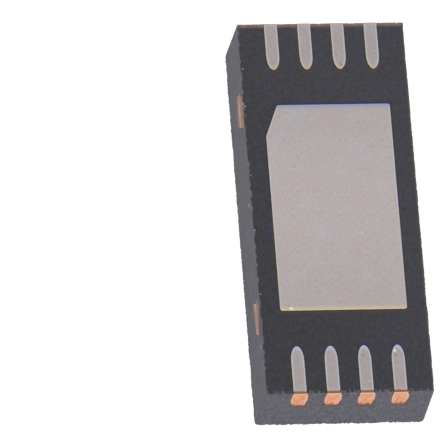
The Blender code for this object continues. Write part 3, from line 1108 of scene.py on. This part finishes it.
@dataclass(frozen=True)
class CutEnd:
    """The smeared face that the saw left on a piece of the lead frame.

    Each corner of the section is pulled along the wall and up, seen from outside, and the bulge
    pushes the right side out.
    """

    low_left: Pair = (26 * MICRON, 0.0)
    low_right: Pair = (12 * MICRON, 0.0)
    high_left: Pair = (0.0, 0.0)
    high_right: Pair = (0.0, 0.0)
    bulge: float = 26 * MICRON
    bulge_start: float = 0.75
    bulge_level: float = 0.78
    drip: float = 26 * MICRON
    drip_offset: Extent = (9.0, 0.0, 4.0)
    ragged: float = 5 * MICRON
    tooth: float = 17 * MICRON
    proud: float = 4 * MICRON
    sunk: float = 8 * MICRON
    lip: float = 2.5 * MICRON
    inner_rim: float = 9 * MICRON
    outline_cuts: int = 9

    def build(
        self, name: str, corners: list[Pair], to_wall: Matrix, material: bpy.types.Material
    ) -> None:
        """Make one cut end.

        Args:
            name: The piece's name.
            corners: The section's corners, along the wall and up, anticlockwise from outside.
            to_wall: Takes (along, up, out) to the chip's frame, with out = 0 on the wall.
            material: The copper.
        """
        shape = bmesh.new()
        bmesh.ops.create_circle(shape, cap_ends=True, segments=len(corners), radius=1.0)
        for vert, (along, up) in zip(list(shape.verts), corners):
            vert.co = Vector((along, up, -self.sunk))
        bmesh.ops.subdivide_edges(shape, edges=shape.edges[:], cuts=self.outline_cuts)
        self._drag_outline(shape, corners, to_wall)
        bmesh.ops.recalc_face_normals(shape, faces=shape.faces)
        top = raise_faces(shape, self.sunk + self.proud * 0.5, keep=False)
        for thickness, depth in ((self.lip, self.proud * 0.5), (self.inner_rim, 0.0)):
            bmesh.ops.inset_region(
                shape, faces=top, thickness=thickness, depth=depth, use_even_offset=True
            )
        for vert in shape.verts:
            vert.co.z += WALL.spread(vert.co.y)
        bmesh.ops.transform(shape, matrix=to_wall, verts=shape.verts)
        bmesh.ops.recalc_face_normals(shape, faces=shape.faces)
        mesh_piece(name, shape, material)

    def _drag_outline(self, shape: bmesh.types.BMesh, corners: list[Pair], to_wall: Matrix) -> None:
        """Drag the outline the way the saw went, with ragged lips at its lower edge."""
        left = min(along for along, _ in corners)
        right = max(along for along, _ in corners)
        low = min(up for _, up in corners)
        high = max(up for _, up in corners)
        for vert in shape.verts:
            seed = to_wall @ vert.co / self.tooth
            share = (vert.co.x - left) / (right - left)
            level = (vert.co.y - low) / (high - low)
            wobble = noise.noise(seed)
            cusp = max(0.0, share - self.bulge_start) / (1.0 - self.bulge_start)
            cusp *= max(0.0, 1.0 - abs(level - self.bulge_level) * 1.7)
            vert.co.x += self.ragged * wobble + self.bulge * cusp * (0.8 + 0.7 * wobble)
            left_pull = Vector(self.low_left).lerp(Vector(self.high_left), level)
            right_pull = Vector(self.low_right).lerp(Vector(self.high_right), level)
            vert.co += left_pull.lerp(right_pull, share).to_3d()
            if level < 0.1:
                fall = noise.noise(seed * 1.3 + Vector(self.drip_offset))
                vert.co.y -= self.drip * max(0.0, 0.3 + fall)


@dataclass
class LeadFrame:
    """The etched copper frame: its CAD nodes, and the smeared ends where the saw went through."""

    lead_end: CutEnd = CutEnd()
    far_bar_end: CutEnd = CutEnd(
        low_left=(-0.115e-3, 0.0),
        low_right=(-0.065e-3, -0.065e-3),
        high_left=(0.037e-3, 0.065e-3),
        high_right=(0.110e-3, 0.065e-3),
        bulge=6 * MICRON,
        drip=6 * MICRON,
    )
    near_bar_end: CutEnd = CutEnd(
        low_left=(-0.105e-3, -0.045e-3),
        low_right=(-0.005e-3, 0.017e-3),
        high_left=(0.070e-3, 0.065e-3),
        high_right=(0.075e-3, -0.050e-3),
        bulge=6 * MICRON,
        drip=6 * MICRON,
    )

    def build(self) -> None:
        """Dress the nodes and add the twelve cut ends."""
        etched = CopperFinish().material("etched_copper", under_smear=True)
        for node in ("die_paddle", *numbered("lead")):
            wear(node, etched)
        smeared = CopperFinish().material("smeared_copper", under_smear=False)
        for number in range(1, LEAD_COUNT + 1):
            self._lead_end(number, smeared)
        for number in range(1, TIE_BARS + 1):
            self._tie_bar_end(number, smeared)

    @staticmethod
    def _section_at_wall(node: str, axis: int, side: float) -> list[Vector]:
        """Return a node's welded points on the wall at one end of an axis."""
        limit = (SIZES.half_width, SIZES.half_length)[axis]
        found: dict[tuple[int, ...], Vector] = {}
        for vert in frame["nodes"][node].data.vertices:
            if vert.co[axis] * side > limit - TOUCH:
                found[tuple(round(part / MICRON) for part in vert.co)] = vert.co.copy()
        return list(found.values())

    def _lead_end(self, number: int, material: bpy.types.Material) -> None:
        """Add the cut end of one lead."""
        side = 1.0 if number <= LEADS_IN_ROW else -1.0
        origin = Vector((0.0, side * SIZES.half_length, 0.0))
        to_wall = self._wall_matrix(Vector((-side, 0.0, 0.0)), origin)
        points = self._section_at_wall(f"lead_{number}", 1, side)
        corners = self._anticlockwise([(point.x * -side, point.z) for point in points])
        self.lead_end.build(f"lead_cut_end_{number}", corners, to_wall, material)

    def _tie_bar_end(self, number: int, material: bpy.types.Material) -> None:
        """Add the cut end of one tie bar, 1 and 2 on the +X wall and 3 and 4 on the -X wall."""
        side = 1.0 if number <= TIE_BARS / 2 else -1.0
        far = number % 2 == 1
        origin = Vector((side * SIZES.half_width, 0.0, 0.0))
        to_wall = self._wall_matrix(Vector((0.0, side, 0.0)), origin)
        points = self._section_at_wall("die_paddle", 0, side)
        corners = self._anticlockwise([(at.y * side, at.z) for at in points if (at.y > 0.0) == far])
        smear = self.far_bar_end if far else self.near_bar_end
        smear.build(f"tie_bar_cut_end_{number}", corners, to_wall, material)

    @staticmethod
    def _wall_matrix(along: Vector, origin: Vector) -> Matrix:
        """Return the matrix from (along, up, out) on a wall to the chip's frame."""
        up = Vector((0.0, 0.0, 1.0))
        turn = Matrix((along, up, along.cross(up))).transposed().to_4x4()
        return Matrix.Translation(origin) @ turn

    @staticmethod
    def _anticlockwise(corners: list[Pair]) -> list[Pair]:
        """Return convex corners in order round their middle."""
        x, y = (sum(part) / len(corners) for part in zip(*corners))
        return sorted(corners, key=lambda corner: math.atan2(corner[1] - y, corner[0] - x))


@dataclass
class TinFilms:
    """The films of tin on the pad and the lands, rolled over softly at their edges.

    The roll gives how far in from the outline, in micrometres, the film has which share of its
    thickness.
    """

    roll: tuple[Pair, ...] = ((0.0, 0.45), (1.6, 0.72), (4.2, 0.90), (8.5, 1.0))
    outline_step: float = 16 * MICRON
    straight: float = 0.01
    ragged: float = 0.9 * MICRON
    tooth: float = 30 * MICRON
    tooth_offset: Extent = (5.0, 2.0, 8.0)

    def build(self) -> None:
        """Put a rolled film in the place of each CAD film."""
        material = TinFinish().material()
        for node in ("paddle_plating", *numbered("land_plating")):
            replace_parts(self._film(node, material), node)

    def _film(self, node: str, material: bpy.types.Material) -> bpy.types.Object:
        """Make the film of one node, from the outline of the node's foot."""
        low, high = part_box(node)
        shape = welded_copy(node)
        above = [vert for vert in shape.verts if vert.co.z > low.z + TOUCH]
        bmesh.ops.delete(shape, geom=above, context="VERTS")
        bmesh.ops.dissolve_limit(
            shape, angle_limit=self.straight, verts=shape.verts, edges=shape.edges
        )
        self._divide(shape)
        bmesh.ops.recalc_face_normals(shape, faces=shape.faces)
        if shape.faces[0].normal.z < 0:
            bmesh.ops.reverse_faces(shape, faces=shape.faces)
        thickness = high.z - low.z
        top = raise_faces(shape, thickness * self.roll[0][1], keep=True)
        for (inset, level), (further, higher) in zip(self.roll, self.roll[1:]):
            depth = thickness * (higher - level)
            width = (further - inset) * MICRON
            bmesh.ops.inset_region(shape, faces=top, thickness=width, depth=depth, use_even_offset=True)
        bmesh.ops.recalc_face_normals(shape, faces=shape.faces)
        return mesh_piece(f"rolled_{node}", shape, material)

    def _divide(self, shape: bmesh.types.BMesh) -> None:
        """Cut the long edges of an outline and make them slightly uneven."""
        for edge in sorted(shape.edges, key=lambda each: -each.calc_length()):
            cuts = int(edge.calc_length() / self.outline_step)
            if cuts:
                bmesh.ops.subdivide_edges(shape, edges=[edge], cuts=cuts)
        for vert in shape.verts:
            if abs(vert.co.y) < SIZES.half_length - TOUCH:
                seed = vert.co / self.tooth
                vert.co.x += self.ragged * noise.noise(seed)
                vert.co.y += self.ragged * noise.noise(seed + Vector(self.tooth_offset))


@dataclass
class Circuit:
    """What the compound hides: the adhesive, the die and the bond wires, by their nodes' names."""

    adhesive: str = "die_attach"
    die: str = "memory_die"
    wire: str = "bond_wire"

    def build(self) -> None:
        """Dress the nodes."""
        wear(self.adhesive, AdhesiveFinish().material())
        wear(self.die, SiliconFinish().material())
        gold = GoldFinish().material()
        for node in numbered(self.wire):
            wear(node, gold)


@dataclass
class Studio:
    """The camera at the photograph's angle, the pale floor and the soft light."""

    azimuth: float = -21.858
    elevation: float = 65.799
    roll: float = 19.174
    distance: float = 0.150
    focal_pixels: float = 12645.5
    aside: float = -0.0012749
    above: float = 0.0000058
    sensor: float = 36.0
    floor_side: float = 1.2
    surroundings: float = 0.92
    lamp_energy: float = 0.9
    lamp_angle: float = 50.0
    lamp_turn: Extent = (10.0, -16.0, 0.0)

    def build(self) -> None:
        """Make the camera, the floor and the lights."""
        self._camera()
        self._floor()
        self._light()

    def _camera(self) -> None:
        """Make the camera, turned and moved so that the chip stands where the photograph has it."""
        azimuth, elevation = math.radians(self.azimuth), math.radians(self.elevation)
        flat = math.cos(elevation)
        back = Vector((math.sin(azimuth) * flat, -math.cos(azimuth) * flat, math.sin(elevation)))
        level = Vector((math.cos(azimuth), math.sin(azimuth), 0.0))
        turned = Matrix.Rotation(math.radians(self.roll), 3, back)
        right = turned @ level
        up = back.cross(right)
        middle = Vector((0.0, 0.0, SIZES.height / 2))
        place = middle + back * self.distance + right * self.aside + up * self.above
        data = bpy.data.cameras.new("camera")
        data.sensor_width = self.sensor
        data.lens = self.focal_pixels * self.sensor / PHOTO_SIDE
        data.clip_start = self.distance / 10
        data.clip_end = self.distance * 100
        camera = bpy.data.objects.new("camera", data)
        camera.matrix_world = Matrix.Translation(place) @ Matrix((right, up, back)).transposed().to_4x4()
        bpy.context.scene.collection.objects.link(camera)
        bpy.context.scene.camera = camera

    def _floor(self) -> None:
        """Make the floor, level with the marking face."""
        shape = bmesh.new()
        bmesh.ops.create_grid(shape, x_segments=1, y_segments=1, size=self.floor_side / 2)
        mesh = bpy.data.meshes.new("floor")
        shape.to_mesh(mesh)
        shape.free()
        mesh.materials.append(FloorFinish().material())
        floor = bpy.data.objects.new("floor", mesh)
        bpy.context.scene.collection.objects.link(floor)
        floor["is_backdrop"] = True

    def _light(self) -> None:
        """Make the bright surroundings and one soft lamp, and show colours as they are."""
        world = bpy.data.worlds.new("surroundings")
        world.use_nodes = True
        background = world.node_tree.nodes["Background"]
        background.inputs["Color"].default_value = (1.0, 1.0, 1.0, 1.0)
        background.inputs["Strength"].default_value = self.surroundings
        bpy.context.scene.world = world
        lamp = bpy.data.lights.new("soft_lamp", "SUN")
        lamp.energy = self.lamp_energy
        lamp.angle = math.radians(self.lamp_angle)
        holder = bpy.data.objects.new("soft_lamp", lamp)
        holder.rotation_euler = [math.radians(turn) for turn in self.lamp_turn]
        bpy.context.scene.collection.objects.link(holder)
        bpy.context.scene.view_settings.view_transform = "Standard"


def main() -> None:
    """Build the studio and the chip's pieces in order, and report each."""
    logging.basicConfig(level=logging.INFO, format="%(name)s: %(message)s")
    parts = {
        "studio": Studio(),
        "moulded body": MouldedBody(),
        "lead frame": LeadFrame(),
        "tin films": TinFilms(),
        "circuit": Circuit(),
    }
    for name, part in parts.items():
        part.build()
        LOG.info("built the %s", name)
    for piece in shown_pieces():
        LOG.info("piece %s", piece.name)


if __name__ == "__main__":
    main()
